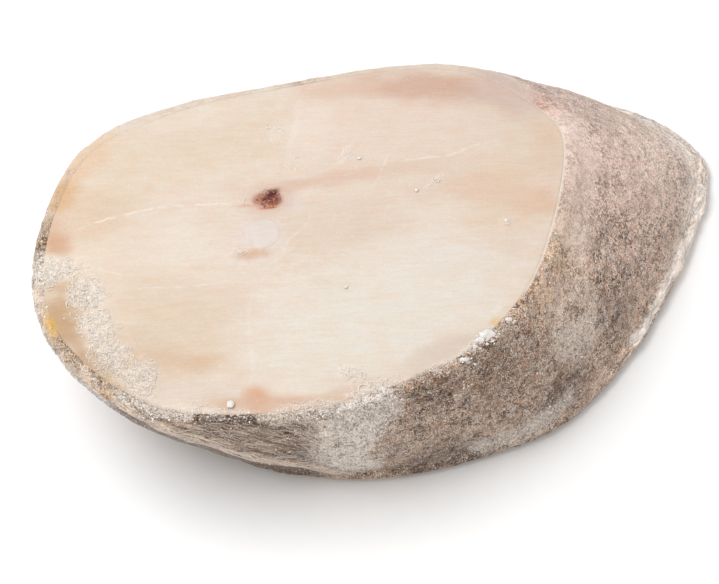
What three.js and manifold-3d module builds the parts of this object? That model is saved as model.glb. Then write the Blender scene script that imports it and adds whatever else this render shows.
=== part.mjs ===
// A frozen hake steak: one thick slice sawn across the fish behind the vent.
// It lies on its larger cut face. The saw ran at a slant to the backbone, so the upper face
// sits well to the left of the lower one, and the skin leans out on the right and in on the left.
// Millimetres, +Z up, origin under the middle of the slice, on the surface that it lies on.
import * as THREE from "three";
import { mergeVertices } from "three/addons/utils/BufferGeometryUtils.js";
import Module from "manifold-3d";

// Driving dimensions.
const THICKNESS = 31; // between the two cut faces
const SKIN = 0.9; // skin with the pale layer under it
const GAP = 0.25; // kept between neighbouring pieces
const SKIN_LIFT = 0.4; // the skin stops this far above the lower cut face
const EDGE_ROUND = 0.8; // rounding of the cut edges
const EDGE_ROUND_LEFT = 1.8; // and how much more of that there is at the narrow left end
const BULGE = 2.0; // how far the flank swells between the two faces
const BULGE_LEFT = 1.6; // and how much more at the left end
const LEFT_FADE = [20, 55]; // how far left of zero the left end's character begins, and is complete
const RIM_LIP = 1.1; // thickened icy rim along the lower edge
const RIM_HEIGHT = 1.9; // height of its middle
const RIM_SPREAD = 1.4; // and its half width
const FLANK_WAVES = { height: 0.6, length: 11 }; // dents and swellings of the skin
const FACE_WAVES = { height: 0.25, length: 14, width: 9 }; // saw waves on the upper face
const CROWN = 0.7; // the upper face stands this much higher in its middle

// Outlines of the two cut faces, point by point from the right-hand end towards the back.
// Point k of one lies along the fish from point k of the other.
const UPPER_OUTLINE = [
  [40, 19], [36.5, 32], [22, 39.5], [6, 40], [-17, 35.5], [-40, 29.5], [-54, 19.5],
  [-60.5, -1.5], [-56, -20], [-39.5, -34], [-15, -36], [4, -31.5], [20.5, -23], [33.5, -6.5],
];
const LOWER_OUTLINE = [
  [69, 31], [65.5, 42], [52, 49.5], [34, 50], [6, 45.5], [-19, 37.5], [-34, 26.5],
  [-41.5, 5], [-39, -13.5], [-22, -27], [1, -31.5], [22, -27.5], [41, -18.5], [57, 2.5],
];
const ALONG_FISH = new THREE.Vector2(20.5, 7.2); // step from the upper face to the lower one

// What runs along the fish: middle on the upper face, half sizes on the cut, and how far it stands
// below the face round it.
const BONE = { x: -17.8, y: 2.3, rx: 3.4, ry: 3.6, sunk: 0.35 }; // body of the vertebra
const CANAL = { x: -16.8, y: 9.8, rx: 2.5, ry: 2.4, sunk: 0.8 }; // blood-filled canal beside it

// Places where the upper face leaves its level: centre, reach in x and y, and drop.
const ROLL_OFFS = [
  { x: 37, y: 34, rx: 11, ry: 9, drop: 3.0 }, // back right corner, sawn low
  { x: -58, y: -12, rx: 8, ry: 16, drop: 1.8 }, // left end
  { x: -36, y: -36, rx: 16, ry: 6, drop: 1.2 }, // front left
];

// Fineness.
const AROUND = 120; // points round the slice
const FLANK_ROWS = 11;
const FACE_RINGS = [1, 0.97, 0.92, 0.85, 0.76, 0.66, 0.55, 0.44, 0.33, 0.22, 0.11];
const UNDER_RINGS = [1, 0.7, 0.4, 0.15];
const TUBE_SIDES = 24;
const TUBE_ROWS = 4;

const closedCurve = (outline) =>
  new THREE.CatmullRomCurve3(outline.map(([x, y]) => new THREE.Vector3(x, y, 0)), true, "catmullrom", 0.5);
const upperCurve = closedCurve(UPPER_OUTLINE);
const lowerCurve = closedCurve(LOWER_OUTLINE);

const mix = (a, b, t) => a + (b - a) * t;
const smooth = (t) => t * t * (3 - 2 * t);
const hill = (d) => Math.exp(-d * d);

// A repeatable number from 0 to 1 for each point of a whole-number lattice.
function latticeValue(i, j, k) {
  const s = Math.sin(i * 127.1 + j * 311.7 + k * 74.7) * 43758.5453;
  return s - Math.floor(s);
}

// Smooth noise from -1 to 1.
function noise(x, y, z) {
  const [i, j, k] = [x, y, z].map(Math.floor);
  const [u, v, w] = [smooth(x - i), smooth(y - j), smooth(z - k)];
  const row = (b, c) => mix(latticeValue(i, b, c), latticeValue(i + 1, b, c), u);
  const sheet = (c) => mix(row(j, c), row(j + 1, c), v);
  return 2 * mix(sheet(k), sheet(k + 1), w) - 1;
}

// How much a point belongs to the left end.
const leftness = (x) => THREE.MathUtils.smoothstep(-x, ...LEFT_FADE);

// How far the flank stands out from the straight line between the two outlines, at share t of the height.
function flankSwell(t, x, y) {
  const bulge = BULGE + BULGE_LEFT * leftness(x);
  const waves = FLANK_WAVES.height * noise(x / FLANK_WAVES.length, y / FLANK_WAVES.length, 3 * t);
  const lip = RIM_LIP * hill((t * THICKNESS - RIM_HEIGHT) / RIM_SPREAD);
  return (bulge + waves) * Math.sin(Math.PI * t) + lip;
}

// Inward step that rounds the upper and lower edges.
function edgeInset(t, x) {
  const radius = EDGE_ROUND + EDGE_ROUND_LEFT * leftness(x);
  const s = Math.max(0, 1 - (Math.min(t, 1 - t) * THICKNESS) / radius);
  return radius * (1 - Math.sqrt(1 - s * s));
}

// A point of the flank: share u of the way round, share t of the height, inset from the outside.
function flankPoint(u, t, inset = 0) {
  const at = (v) => lowerCurve.getPoint(v).lerp(upperCurve.getPoint(v), t);
  const here = at(u);
  const along = at((u + 0.002) % 1).sub(at((u + 0.998) % 1)).normalize();
  const out = flankSwell(t, here.x, here.y) - edgeInset(t, here.x) - inset;
  return new THREE.Vector2(here.x + along.y * out, here.y - along.x * out);
}

// Height of the upper face, at share r of the way from its middle to its edge.
function faceHeight(x, y, r) {
  const drop = ROLL_OFFS.reduce(
    (sum, p) => sum + p.drop * hill(Math.hypot((x - p.x) / p.rx, (y - p.y) / p.ry)), 0);
  const waves = FACE_WAVES.height * noise(x / FACE_WAVES.length, y / FACE_WAVES.width, 0.5);
  return THICKNESS + CROWN * (1 - r * r) + waves - drop;
}

// Joins rows of points into a surface. Rows run from below to above, and points run
// counterclockwise seen from above. Poles close the two ends; without them the last row meets the first.
function surface(rows, poles) {
  const count = rows[0].length;
  const position = rows.flat().flatMap((p) => [p.x, p.y, p.z]);
  const index = [];
  const joined = poles ? rows.length - 1 : rows.length;
  for (let r = 0; r < joined; r++) {
    const [a, b] = [r * count, ((r + 1) % rows.length) * count];
    for (let i = 0; i < count; i++) {
      const n = (i + 1) % count;
      index.push(a + i, a + n, b + n, a + i, b + n, b + i);
    }
  }
  if (poles) {
    const [low, high] = [rows.length * count, rows.length * count + 1];
    poles.forEach((p) => position.push(p.x, p.y, p.z));
    const last = (rows.length - 1) * count;
    for (let i = 0; i < count; i++) {
      const n = (i + 1) % count;
      index.push(low, n, i, high, last + i, last + n);
    }
  }
  const geometry = new THREE.BufferGeometry();
  geometry.setAttribute("position", new THREE.Float32BufferAttribute(position, 3));
  geometry.setIndex(index);
  return geometry;
}

const turns = Array.from({ length: AROUND }, (_, i) => i / AROUND);
const middle = (points) =>
  points.reduce((sum, p) => sum.add(p), new THREE.Vector2()).divideScalar(points.length);

// Shares of the height for the flank's rows, closer together at the two edges.
const flankShares = Array.from({ length: FLANK_ROWS }, (_, i) => {
  const s = i / (FLANK_ROWS - 1);
  return mix(s, smooth(s), 0.75);
});

// One row round the flank. Its height follows the upper face where that face dips.
function flankRow(t, inset) {
  return turns.map((u) => {
    const p = flankPoint(u, t, inset);
    const edge = flankPoint(u, 1, inset);
    return new THREE.Vector3(p.x, p.y, t * faceHeight(edge.x, edge.y, 1));
  });
}

// The muscle: everything inside the skin, with both cut faces.
function fleshGeometry() {
  const inset = SKIN + GAP;
  const underEdge = turns.map((u) => flankPoint(u, 0, inset));
  const faceEdge = turns.map((u) => flankPoint(u, 1, inset));
  const [underMiddle, faceMiddle] = [middle(underEdge), middle(faceEdge)];
  const ring = (edge, centre, r, height) =>
    edge.map((p) => {
      const q = centre.clone().lerp(p, r);
      return new THREE.Vector3(q.x, q.y, height(q.x, q.y, r));
    });
  const under = UNDER_RINGS.toReversed().map((r) => ring(underEdge, underMiddle, r, () => 0));
  const flank = flankShares.slice(1, -1).map((t) => flankRow(t, inset));
  const face = FACE_RINGS.map((r) => ring(faceEdge, faceMiddle, r, faceHeight));
  const poles = [
    new THREE.Vector3(underMiddle.x, underMiddle.y, 0),
    new THREE.Vector3(faceMiddle.x, faceMiddle.y, faceHeight(faceMiddle.x, faceMiddle.y, 0)),
  ];
  return surface([...under, ...flank, ...face], poles);
}

// The skin: a band round the flesh, open at both cut faces.
function skinGeometry() {
  const shares = flankShares.with(0, SKIN_LIFT / THICKNESS);
  const outer = shares.map((t) => flankRow(t, 0));
  const inner = shares.map((t) => flankRow(t, SKIN)).reverse();
  return surface([...outer, ...inner], null);
}

// What runs along the fish from face to face, with oval level sections. grow widens them, and over
// lengthens both ends, as a tunnel needs.
function alongFish({ x, y, rx, ry, sunk }, { grow = 0, over = 0 } = {}) {
  const top = faceHeight(x, y, 0) - sunk + over;
  const rows = Array.from({ length: TUBE_ROWS }, (_, r) => {
    const z = mix(sunk - over, top, r / (TUBE_ROWS - 1));
    const centre = new THREE.Vector2(x, y).addScaledVector(ALONG_FISH, 1 - z / THICKNESS);
    return Array.from({ length: TUBE_SIDES }, (_, i) => {
      const a = (2 * Math.PI * i) / TUBE_SIDES;
      return new THREE.Vector3(centre.x + (rx + grow) * Math.cos(a), centre.y + (ry + grow) * Math.sin(a), z);
    });
  });
  const poles = [rows[0], rows[TUBE_ROWS - 1]].map((row) =>
    row.reduce((sum, p) => sum.add(p), new THREE.Vector3()).divideScalar(TUBE_SIDES));
  return surface(rows, poles);
}

const wasm = await Module();
wasm.setup();

function toSolid(geometry) {
  const merged = mergeVertices(geometry, 1e-4);
  return new wasm.Manifold(new wasm.Mesh({
    numProp: 3,
    vertProperties: merged.attributes.position.array,
    triVerts: new Uint32Array(merged.index.array),
  }));
}

function toGeometry(solid) {
  const { vertProperties, triVerts } = solid.getMesh();
  const geometry = new THREE.BufferGeometry();
  geometry.setAttribute("position", new THREE.BufferAttribute(vertProperties, 3));
  geometry.setIndex(new THREE.BufferAttribute(triVerts, 1));
  return geometry;
}

// The flesh with the two tunnels that the bone and the canal fill.
function tunnelledFlesh() {
  const tunnel = (filling) => toSolid(alongFish(filling, { grow: GAP, over: 3 }));
  return toGeometry(toSolid(fleshGeometry()).subtract(tunnel(BONE)).subtract(tunnel(CANAL)));
}

function piece(name, geometry, color, roughness) {
  const material = new THREE.MeshStandardMaterial({ color, roughness, metalness: 0 });
  const mesh = new THREE.Mesh(geometry, material);
  mesh.name = name;
  return mesh;
}

const steak = new THREE.Group();
steak.add(
  piece("flesh", tunnelledFlesh(), 0xead9c6, 0.5),
  piece("skin", skinGeometry(), 0x9b8a7e, 0.6),
  piece("backbone", alongFish(BONE), 0xe9e2dc, 0.4),
  piece("blood_canal", alongFish(CANAL), 0x6d3229, 0.5),
);

// Moves the origin from the outlines' own zero to under the middle of the slice.
const extent = new THREE.Box3().setFromObject(steak);
const centre = extent.getCenter(new THREE.Vector3());
steak.children.forEach((mesh) => mesh.position.set(-centre.x, -centre.y, 0));

export default steak;
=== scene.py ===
"""Looks of one frozen hake steak: muscle, skin, vertebra, blood-filled canal, frost and ice.

The forms repeat the sizes of the solids and add what is finer. Sizes and places are in
millimetres in the slice's frame unless a name says otherwise, and meshes are in metres.
"""
import math
from types import SimpleNamespace

import bmesh
import bpy
import numpy as np
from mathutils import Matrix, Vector


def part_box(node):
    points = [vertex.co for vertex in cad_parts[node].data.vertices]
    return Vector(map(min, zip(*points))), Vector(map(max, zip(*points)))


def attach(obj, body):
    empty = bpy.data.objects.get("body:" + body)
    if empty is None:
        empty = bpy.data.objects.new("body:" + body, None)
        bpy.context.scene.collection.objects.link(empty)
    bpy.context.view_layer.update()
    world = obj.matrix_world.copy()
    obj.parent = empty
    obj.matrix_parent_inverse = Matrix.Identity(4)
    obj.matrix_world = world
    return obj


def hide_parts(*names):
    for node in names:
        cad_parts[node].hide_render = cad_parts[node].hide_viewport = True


MM = 0.001
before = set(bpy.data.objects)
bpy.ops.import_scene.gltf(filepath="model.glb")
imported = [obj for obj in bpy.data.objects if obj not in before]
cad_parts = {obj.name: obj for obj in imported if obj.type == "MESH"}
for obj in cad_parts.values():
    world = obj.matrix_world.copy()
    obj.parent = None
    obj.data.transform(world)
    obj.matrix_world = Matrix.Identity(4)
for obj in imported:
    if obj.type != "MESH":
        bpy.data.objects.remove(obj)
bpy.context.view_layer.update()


# ---------------------------------------------------------------- sizes of the slice

THICKNESS = 31.0
SKIN = 0.9
SKIN_LIFT = 0.4
EDGE_ROUND = 0.8
EDGE_ROUND_LEFT = 1.8
BULGE = 2.0
BULGE_LEFT = 1.6
LEFT_FADE = (20.0, 55.0)
RIM_LIP = 1.1
RIM_HEIGHT = 1.9
RIM_SPREAD = 1.4
FLANK_WAVE_HEIGHT = 0.6
FLANK_WAVE_LENGTH = 11.0
FACE_WAVE_HEIGHT = 0.25
FACE_WAVE_LENGTH = 14.0
FACE_WAVE_WIDTH = 9.0
CROWN = 0.7

# Outlines of the two cut faces, in the drawing's own coordinates.
UPPER_OUTLINE = np.array([
    [40, 19], [36.5, 32], [22, 39.5], [6, 40], [-17, 35.5], [-40, 29.5], [-54, 19.5],
    [-60.5, -1.5], [-56, -20], [-39.5, -34], [-15, -36], [4, -31.5], [20.5, -23], [33.5, -6.5],
])
LOWER_OUTLINE = np.array([
    [69, 31], [65.5, 42], [52, 49.5], [34, 50], [6, 45.5], [-19, 37.5], [-34, 26.5],
    [-41.5, 5], [-39, -13.5], [-22, -27], [1, -31.5], [22, -27.5], [41, -18.5], [57, 2.5],
])
ALONG_FISH = np.array([20.5, 7.2])
BONE = {"x": -17.8, "y": 2.3, "rx": 3.4, "ry": 3.6}
CANAL = {"x": -16.8, "y": 9.8, "rx": 2.5, "ry": 2.4}
ROLL_OFFS = [  # x, y, reach in x, reach in y, drop
    (37, 34, 11, 9, 3.0),
    (-58, -12, 8, 16, 1.8),
    (-36, -36, 16, 6, 1.2),
]

# Fineness of the detailed meshes.
FLESH_AROUND = 540
FACE_RINGS = 118
SKIN_AROUND = 900
SKIN_ROWS = 90


# ---------------------------------------------------------------- numbers and noise

OCTAVE_FINER = 2.03
OCTAVE_SHIFT = 17.7
OCTAVE_WEIGHT = 0.55
PATCH_EDGE = (0.35, 1.35)  # where a patch's soft edge begins and ends, in shares of its reach
PATCH_STREAKS = (4.4, 2.2, 4.0)
BALL_EDGE = (0.5, 1.2)
BALL_LUMPS = 4.0


def smoothstep(x, low, high):
    """0 below low and 1 above high, with a smooth rise between them."""
    t = np.clip((x - low) / (high - low), 0.0, 1.0)
    return t * t * (3 - 2 * t)


def lattice_value(i, j, k):
    """A scattered number from 0 to 1 for each whole-numbered place."""
    s = np.sin(i * 127.1 + j * 311.7 + k * 74.7) * 43758.5453
    return s - np.floor(s)


def noise(x, y, z):
    """Smooth noise from -1 to 1, the same as the solids use."""
    x, y, z = np.broadcast_arrays(x, y, z)
    i, j, k = np.floor(x), np.floor(y), np.floor(z)
    u, v, w = (f * f * (3 - 2 * f) for f in (x - i, y - j, z - k))
    total = 0.0
    for a, wa in ((0, 1 - u), (1, u)):
        for b, wb in ((0, 1 - v), (1, v)):
            for c, wc in ((0, 1 - w), (1, w)):
                total = total + wa * wb * wc * lattice_value(i + a, j + b, k + c)
    return 2 * total - 1


def fractal(points, size, octaves=3, seed=0.0):
    """Layered noise over points; size is that of its largest lumps, and may be one for each axis."""
    p = points / np.asarray(size, float) + seed
    total, weight, reach = 0.0, 1.0, 0.0
    for _ in range(octaves):
        total = total + weight * noise(p[..., 0], p[..., 1], p[..., 2])
        reach += weight
        p = p * OCTAVE_FINER + OCTAVE_SHIFT
        weight *= OCTAVE_WEIGHT
    return total / reach


def grainy(points, size, seed=0.0):
    """Noise of sharp small lumps, from 0 to 1."""
    return np.clip(np.abs(fractal(points, size, 2, seed)) * 2.2, 0, 1)


def patch(points, centre, reach, turn=0.0, fray=0.0, seed=0.0):
    """1 inside an oval patch, falling softly to 0 outside. fray makes its edge uneven, in streaks along x."""
    a = math.radians(turn)
    dx, dy = points[..., 0] - centre[0], points[..., 1] - centre[1]
    across = (dx * math.cos(a) + dy * math.sin(a)) / reach[0]
    along = (-dx * math.sin(a) + dy * math.cos(a)) / reach[1]
    d = np.hypot(across, along)
    if fray:
        d = d + fray * fractal(points, PATCH_STREAKS, 4, seed)
    return 1 - smoothstep(d, *PATCH_EDGE)


def ball(points, centre, reach, fray=0.0, seed=0.0):
    """The same in space, for the skin."""
    d = np.linalg.norm(points - np.array(centre, float), axis=-1) / reach
    if fray:
        d = d + fray * fractal(points, BALL_LUMPS, 3, seed)
    return 1 - smoothstep(d, *BALL_EDGE)


def signed_distance(points, line):
    """Distance to a line in plan, negative on its right, and the share of the way along it."""
    best = np.full(points.shape[:-1], 1e9)
    signed = np.zeros_like(best)
    share = np.zeros_like(best)
    line = np.array(line, float)
    lengths = np.linalg.norm(np.diff(line, axis=0), axis=1)
    starts = np.concatenate([[0], np.cumsum(lengths)])
    for (a, b), length, start in zip(zip(line[:-1], line[1:]), lengths, starts):
        d = (b - a) / length
        rel = points[..., :2] - a
        along = np.clip(rel @ d, 0, length)
        off = rel - along[..., None] * d
        gap = np.linalg.norm(off, axis=-1)
        nearer = gap < best
        side = np.where(d[0] * off[..., 1] - d[1] * off[..., 0] >= 0, 1.0, -1.0)
        best = np.where(nearer, gap, best)
        signed = np.where(nearer, gap * side, signed)
        share = np.where(nearer, (start + along) / starts[-1], share)
    return signed, share


def linear(colour):
    """An sRGB colour from 0 to 255 as linear numbers from 0 to 1."""
    c = np.asarray(colour, float) / 255
    return np.where(c <= 0.04045, c / 12.92, ((c + 0.055) / 1.055) ** 2.4)


# ---------------------------------------------------------------- form of the slice

def closed_curve(outline, u):
    """Smooth closed curve through the outline's points, at share u of the way round."""
    n = len(outline)
    s = (np.asarray(u) % 1.0) * n
    i = np.floor(s).astype(int)
    w = (s - i)[..., None]
    p0, p1, p2, p3 = (outline[(i + k) % n] for k in (-1, 0, 1, 2))
    v0, v1 = (p2 - p0) / 2, (p3 - p1) / 2
    return (2 * p1 - 2 * p2 + v0 + v1) * w**3 + (3 * p2 - 3 * p1 - 2 * v0 - v1) * w**2 + v0 * w + p1


def leftness(x):
    """0 on the right and 1 at the left end, where the slice bulges more and its edges are rounder."""
    return smoothstep(-x, *LEFT_FADE)


def flank_swell(t, x, y):
    """How far the flank stands out of the straight line between the two outlines."""
    bulge = BULGE + BULGE_LEFT * leftness(x)
    waves = FLANK_WAVE_HEIGHT * noise(x / FLANK_WAVE_LENGTH, y / FLANK_WAVE_LENGTH, 3 * t)
    lip = RIM_LIP * np.exp(-(((t * THICKNESS - RIM_HEIGHT) / RIM_SPREAD) ** 2))
    return (bulge + waves) * np.sin(np.pi * t) + lip


def edge_inset(t, x):
    """How far the rounding of the two edges draws the flank in."""
    radius = EDGE_ROUND + EDGE_ROUND_LEFT * leftness(x)
    s = np.clip(1 - np.minimum(t, 1 - t) * THICKNESS / radius, 0, 1)
    return radius * (1 - np.sqrt(1 - s * s))


def flank_plan(u, t, inset):
    """Plan of the flank in the drawing's coordinates, at share u of the way round and t of the height."""
    def at(v):
        return closed_curve(LOWER_OUTLINE, v) * (1 - t) + closed_curve(UPPER_OUTLINE, v) * t

    here = at(u)
    along = at(u + 0.002) - at(u - 0.002)
    along /= np.linalg.norm(along, axis=-1, keepdims=True)
    x, y = here[..., 0], here[..., 1]
    out = flank_swell(t, x, y) - edge_inset(t, x) - inset
    return here + np.stack([along[..., 1], -along[..., 0]], -1) * out[..., None]


def face_height(x, y, r):
    """Height of the upper face in the drawing's coordinates, at share r from its middle to its edge."""
    drop = 0.0
    for px, py, rx, ry, depth in ROLL_OFFS:
        drop = drop + depth * np.exp(-(((x - px) / rx) ** 2 + ((y - py) / ry) ** 2))
    waves = FACE_WAVE_HEIGHT * noise(x / FACE_WAVE_LENGTH, y / FACE_WAVE_WIDTH, 0.5)
    return THICKNESS + CROWN * (1 - r * r) + waves - drop


def flank_row(u, t, inset):
    """Points in space round the flank at share t of its height, which follows the upper face."""
    plan = flank_plan(u, t, inset)
    edge = flank_plan(u, 1.0, inset)
    z = t * face_height(edge[:, 0], edge[:, 1], 1.0)
    return np.column_stack([plan, z])


def drawing_shift():
    """How far the drawing's coordinates move to bring the skin to where the solids have it."""
    u = np.arange(SKIN_AROUND) / SKIN_AROUND
    rows = np.concatenate([flank_row(u, t, 0.0) for t in np.linspace(SKIN_LIFT / THICKNESS, 1, 40)])
    low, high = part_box("skin")
    centre = (np.array(low) + np.array(high)) / 2 / MM
    return centre[:2] - (rows[:, :2].min(0) + rows[:, :2].max(0)) / 2


SHIFT = drawing_shift()


def to_frame(points):
    """From the drawing's coordinates to the slice's frame."""
    moved = points.copy()
    moved[..., :2] += SHIFT
    return moved


# ---------------------------------------------------------------- meshes

def new_object(name, data):
    made = bpy.data.objects.new(name, data)
    bpy.context.scene.collection.objects.link(made)
    return made


def make_mesh(name, points, faces, material, smooth=True):
    """points in millimetres, (n, 3); faces an array of triangles or quads."""
    mesh = bpy.data.meshes.new(name)
    mesh.vertices.add(len(points))
    mesh.vertices.foreach_set("co", (points * MM).astype(np.float32).ravel())
    sides = faces.shape[1]
    mesh.loops.add(faces.size)
    mesh.loops.foreach_set("vertex_index", faces.astype(np.int32).ravel())
    mesh.polygons.add(len(faces))
    mesh.polygons.foreach_set("loop_start", np.arange(0, faces.size, sides, dtype=np.int32))
    mesh.polygons.foreach_set("use_smooth", np.full(len(faces), smooth))
    mesh.update(calc_edges=True)
    mesh.validate()
    mesh.materials.append(material)
    return new_object(name, mesh)


def paint(piece, name, values):
    """Stores one number, vector or colour for each vertex."""
    kinds = {1: ("FLOAT", "value"), 3: ("FLOAT_VECTOR", "vector"), 4: ("FLOAT_COLOR", "color")}
    values = np.asarray(values, np.float32)
    width = 1 if values.ndim == 1 else values.shape[1]
    kind, key = kinds[width]
    attribute = piece.data.attributes.new(name, kind, "POINT")
    attribute.data.foreach_set(key, values.ravel())


def angles(count):
    """Angles of count points round a circle."""
    return np.arange(count) * 2 * np.pi / count


def with_alpha(colours):
    return np.column_stack([colours, np.ones(len(colours))])


def grid_faces(rows, count, closed=False):
    """Quads between rows of count points that run round. closed joins the last row to the first."""
    r = np.arange(rows if closed else rows - 1)[:, None]
    i = np.arange(count)[None, :]
    n = (i + 1) % count
    a, b = r * count, ((r + 1) % rows) * count
    return np.stack([a + i, a + n, b + n, b + i], -1).reshape(-1, 4)


def closed_faces(rows, count):
    """Triangles between such rows, and fans to a low and a high pole, the two points after them."""
    quads = grid_faces(rows, count)
    i = np.arange(count)
    n = (i + 1) % count
    last, low, high = (rows - 1) * count, rows * count, rows * count + 1
    return np.concatenate([
        quads[:, [0, 1, 2]],
        quads[:, [0, 2, 3]],
        np.column_stack([np.full(count, low), n, i]),
        np.column_stack([np.full(count, high), last + i, last + n]),
    ])


def normals_of(grid):
    """Outward normals of a grid, (rows, count, 3): rows run upwards, points counterclockwise."""
    round_ = np.roll(grid, -1, 1) - np.roll(grid, 1, 1)
    up = np.gradient(grid, axis=0)
    n = np.cross(round_, up)
    return n / np.maximum(np.linalg.norm(n, axis=-1, keepdims=True), 1e-9)


# ---------------------------------------------------------------- shader nodes

class Shader:
    """A material made of nodes, with short calls for the kinds used here. Sizes are in millimetres."""

    def __init__(self, name):
        self.material = bpy.data.materials.new(name)
        self.material.use_nodes = True
        self.tree = self.material.node_tree
        self.tree.nodes.clear()
        self.place = self.node("ShaderNodeTexCoord").outputs["Object"]

    def node(self, kind, inputs=(), **settings):
        made = self.tree.nodes.new(kind)
        for key, value in settings.items():
            setattr(made, key, value)
        for key, value in dict(inputs).items():
            self.feed(made.inputs[key], value)
        return made

    def feed(self, socket, value):
        if isinstance(value, bpy.types.NodeSocket):
            self.tree.links.new(value, socket)
        else:
            socket.default_value = value

    def math(self, operation, a, b=0.0, clamp=False):
        return self.node("ShaderNodeMath", {0: a, 1: b}, operation=operation, use_clamp=clamp).outputs[0]

    def times(self, *values):
        product = values[0]
        for value in values[1:]:
            product = self.math("MULTIPLY", product, value)
        return product

    def step(self, value, low, high):
        """0 at low and 1 at high, with a smooth step between them; low may be the larger."""
        inputs = {"Value": value, "From Min": low, "From Max": high}
        if low > high:
            inputs.update({"From Min": high, "From Max": low, "To Min": 1.0, "To Max": 0.0})
        made = self.node("ShaderNodeMapRange", inputs, interpolation_type="SMOOTHSTEP", clamp=True)
        return made.outputs[0]

    def mix(self, share, a, b, blend="MIX"):
        made = self.node("ShaderNodeMix", data_type="RGBA", blend_type=blend)
        for index, value in ((0, share), (6, a), (7, b)):
            self.feed(made.inputs[index], value)
        return made.outputs[2]

    def attribute(self, name, output="Fac"):
        return self.node("ShaderNodeAttribute", attribute_name=name).outputs[output]

    def spread(self, size, turn=0.0, warp=0.0, place=None):
        """The place, scaled so that one unit is size millimetres, along each axis if there are three.
        warp bends it by that many units."""
        x, y, z = np.broadcast_to(size, 3)
        scale = (1 / (x * MM), 1 / (y * MM), 1 / (z * MM))
        start = {"Vector": place or self.place, "Rotation": (0, 0, math.radians(turn))}
        turned = self.node("ShaderNodeMapping", start)
        place = self.node("ShaderNodeMapping", {"Vector": turned.outputs[0], "Scale": scale}).outputs[0]
        if warp:
            wavy = {"Vector": place, "Scale": 1.7, "Detail": 2.0}
            bend = self.node("ShaderNodeTexNoise", wavy).outputs["Color"]
            bent = {0: bend, 1: (warp, warp, warp), 2: place}
            place = self.node("ShaderNodeVectorMath", bent, operation="MULTIPLY_ADD").outputs[0]
        return place

    def noise(self, size, detail=2.0, roughness=0.5, turn=0.0, place=None):
        inputs = {
            "Vector": self.spread(size, turn, 0, place),
            "Scale": 1.0,
            "Detail": detail,
            "Roughness": roughness,
        }
        return self.node("ShaderNodeTexNoise", inputs).outputs[0]

    def cells(self, size, feature="F1", warp=0.0):
        inputs = {"Vector": self.spread(size, 0, warp), "Scale": 1.0}
        return self.node("ShaderNodeTexVoronoi", inputs, feature=feature).outputs["Distance"]

    def threads(self, size, width):
        """1 along thin winding lines and 0 between them."""
        away = self.math("ABSOLUTE", self.math("SUBTRACT", self.noise(size, 3, 0.6), 0.5))
        return self.step(away, width, width * 0.3)

    def between(self, value, low, high):
        """A number that goes from low to high as value goes from 0 to 1."""
        inputs = {"Value": value, "To Min": low, "To Max": high}
        return self.node("ShaderNodeMapRange", inputs).outputs[0]

    def bump(self, height, depth, normal=None):
        """Relief of height, a number from 0 to 1, over depth millimetres."""
        inputs = {"Height": height, "Strength": 1.0, "Distance": depth * MM}
        if normal is not None:
            inputs["Normal"] = normal
        return self.node("ShaderNodeBump", inputs).outputs[0]

    def finish(self, **inputs):
        """The material, with the surface's sockets named with _ for a space."""
        sockets = {name.replace("_", " "): value for name, value in inputs.items()}
        surface = self.node("ShaderNodeBsdfPrincipled", sockets)
        self.node("ShaderNodeOutputMaterial", {"Surface": surface.outputs[0]})
        return self.material


# ---------------------------------------------------------------- the cut face's marks

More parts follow.
